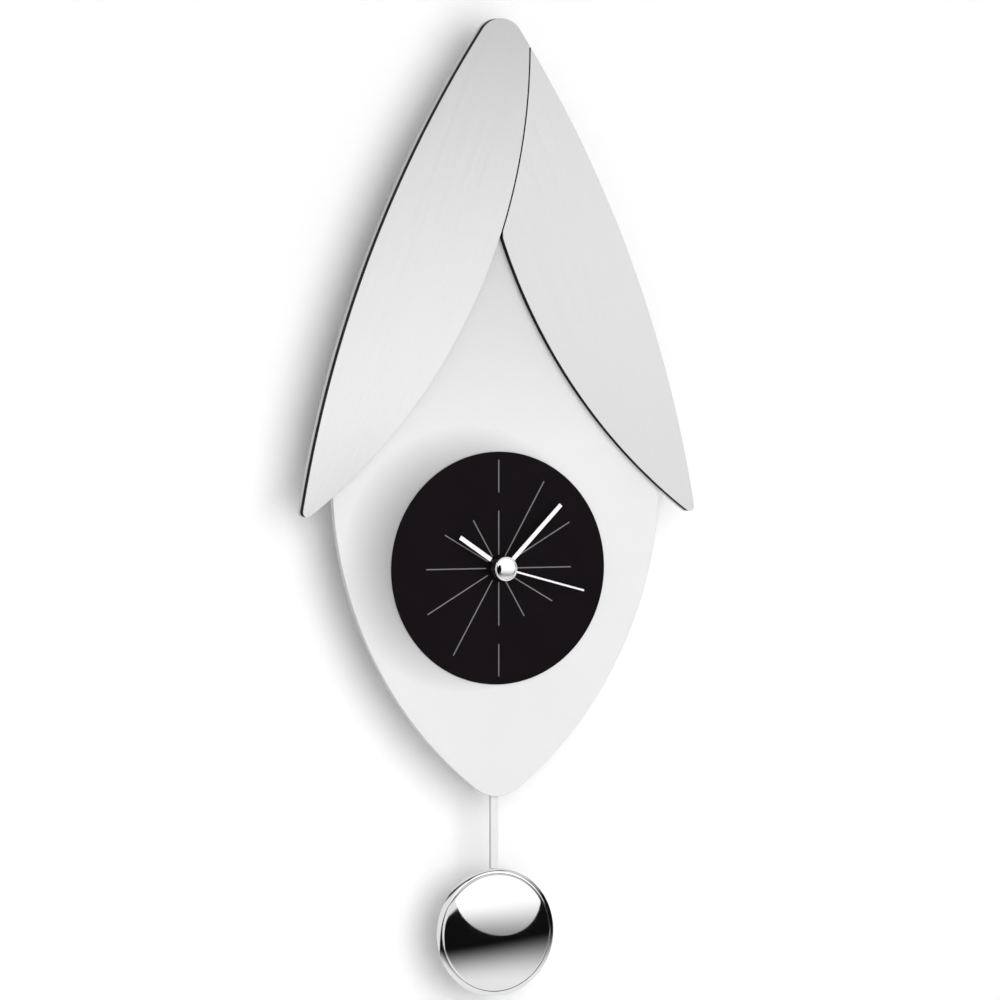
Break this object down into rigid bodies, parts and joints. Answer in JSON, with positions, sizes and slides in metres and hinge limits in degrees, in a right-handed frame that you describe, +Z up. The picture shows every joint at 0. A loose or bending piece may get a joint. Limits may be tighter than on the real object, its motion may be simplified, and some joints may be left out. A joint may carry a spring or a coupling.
{
  "type": "pendulum wall clock",
  "caption": "Wall clock: opal leaf panel under two crossed brushed petals, round black dial with three hands, battery movement behind and a chrome disc pendulum below.",
  "frame": {"origin": "centre of the hanging hole, in the plane of the wall", "axes": "+Z up, +X to the viewer's right, the dial faces -Y and the wall is at y = 0"},
  "size_m": [0.2646, 0.0473, 0.6045],
  "materials": {
    "opal_acrylic": "satin opal",
    "black_core": "sawn matt",
    "brushed_aluminium": "long brushed grain",
    "dial_black": "satin black",
    "line_silver": "silver print",
    "brass": "turned",
    "rubber": "matt",
    "black_oxide": "black oxide",
    "case_plastic": "fine moulded grain",
    "knob_plastic": "fine moulded grain",
    "zinc_steel": "zinc plated",
    "cell_wrap": "plain printed sleeve",
    "nickel_strip": "nickel plated",
    "board_green": "solder mask",
    "chip_black": "epoxy",
    "copper_wire": "enamelled wire",
    "white_nylon": "moulded",
    "hand_white": "satin white",
    "hand_black": "satin black",
    "chrome": "mirror polished",
    "bright_steel": "ground",
    "rod_white": "satin opal",
    "magnet_grey": "nickel plated"
  },
  "bodies": {
    "clock_frame": {"back_panel": "opal_acrylic", "petal_core_left": "black_core", "petal_core_right": "black_core", "petal_skin_left": "brushed_aluminium", "petal_skin_right": "brushed_aluminium", "dial_plate": "dial_black", "hour_lines": "line_silver", "threaded_bushing": "brass", "seat_washer": "rubber", "fixing_nut": "black_oxide", "movement_case": "case_plastic", "rear_cover": "case_plastic", "cover_screws": "zinc_steel", "battery_cell": "cell_wrap", "plus_contact": "nickel_strip", "minus_contact": "nickel_strip", "circuit_board": "board_green", "quartz_crystal": "nickel_strip", "timer_chip": "chip_black", "motor_coil": "copper_wire", "motor_stator": "bright_steel", "drive_coil": "copper_wire", "pivot_pin": "bright_steel", "hanger_bracket": "zinc_steel", "bracket_screws": "zinc_steel", "petal_screws": "zinc_steel", "wall_feet": "case_plastic", "foot_pads": "rubber", "foot_screws": "zinc_steel"},
    "second_train": {"seconds_wheel": "white_nylon", "second_hand": "hand_white", "hub_cap": "chrome"},
    "rotor": {"rotor": "white_nylon"},
    "idler": {"idler_wheel": "white_nylon"},
    "third": {"third_wheel": "white_nylon"},
    "centre": {"centre_wheel": "brass"},
    "minute_train": {"minute_arbor": "brass", "minute_hand": "hand_white"},
    "motion_wheel": {"minute_wheel": "white_nylon"},
    "hour_train": {"hour_wheel": "white_nylon", "hour_collet": "hand_black", "hour_hand": "hand_white"},
    "knob": {"set_knob": "knob_plastic"},
    "pendulum": {"swing_arm": "white_nylon", "arm_magnet": "magnet_grey", "pendulum_rod": "rod_white", "bob_shell": "chrome", "bob_back": "bright_steel", "rod_clamp": "bright_steel", "clamp_screws": "zinc_steel"}
  },
  "joints": [
    {"name": "second_spin", "type": "hinge", "parent": "clock_frame", "child": "second_train", "pos_m": [0, -0.02, -0.215], "axis": [0, 1, 0], "continuous": true},
    {"name": "idler_spin", "type": "hinge", "parent": "clock_frame", "child": "idler", "pos_m": [-0.01224, -0.02, -0.215], "axis": [0, 1, 0], "continuous": true},
    {"name": "rotor_spin", "type": "hinge", "parent": "clock_frame", "child": "rotor", "pos_m": [-0.01645, -0.02, -0.22658], "axis": [0, 1, 0], "continuous": true},
    {"name": "third_spin", "type": "hinge", "parent": "clock_frame", "child": "third", "pos_m": [0.01224, -0.02, -0.215], "axis": [0, 1, 0], "continuous": true},
    {"name": "centre_spin", "type": "hinge", "parent": "clock_frame", "child": "centre", "pos_m": [0, -0.02, -0.215], "axis": [0, 1, 0], "continuous": true},
    {"name": "minute_spin", "type": "hinge", "parent": "clock_frame", "child": "minute_train", "pos_m": [0, -0.02, -0.215], "axis": [0, 1, 0], "continuous": true},
    {"name": "motion_spin", "type": "hinge", "parent": "clock_frame", "child": "motion_wheel", "pos_m": [0, -0.02, -0.2246], "axis": [0, 1, 0], "continuous": true},
    {"name": "hour_spin", "type": "hinge", "parent": "clock_frame", "child": "hour_train", "pos_m": [0, -0.02, -0.215], "axis": [0, 1, 0], "continuous": true},
    {"name": "knob_spin", "type": "hinge", "parent": "clock_frame", "child": "knob", "pos_m": [0.0048, -0.02, -0.23291], "axis": [0, 1, 0], "continuous": true},
    {"name": "pendulum_swing", "type": "hinge", "parent": "clock_frame", "child": "pendulum", "pos_m": [0, -0.0238, -0.252], "axis": [0, 1, 0], "range_deg": [-6, 6]}
  ],
  "couplings": [
    {"joint": "idler_spin", "follows": "second_spin", "ratio": -5},
    {"joint": "rotor_spin", "follows": "second_spin", "ratio": 30},
    {"joint": "third_spin", "follows": "second_spin", "ratio": -0.13333},
    {"joint": "centre_spin", "follows": "second_spin", "ratio": 0.016667},
    {"joint": "motion_spin", "follows": "minute_spin", "ratio": -0.33333},
    {"joint": "hour_spin", "follows": "minute_spin", "ratio": 0.083333},
    {"joint": "knob_spin", "follows": "minute_spin", "ratio": 1}
  ]
}
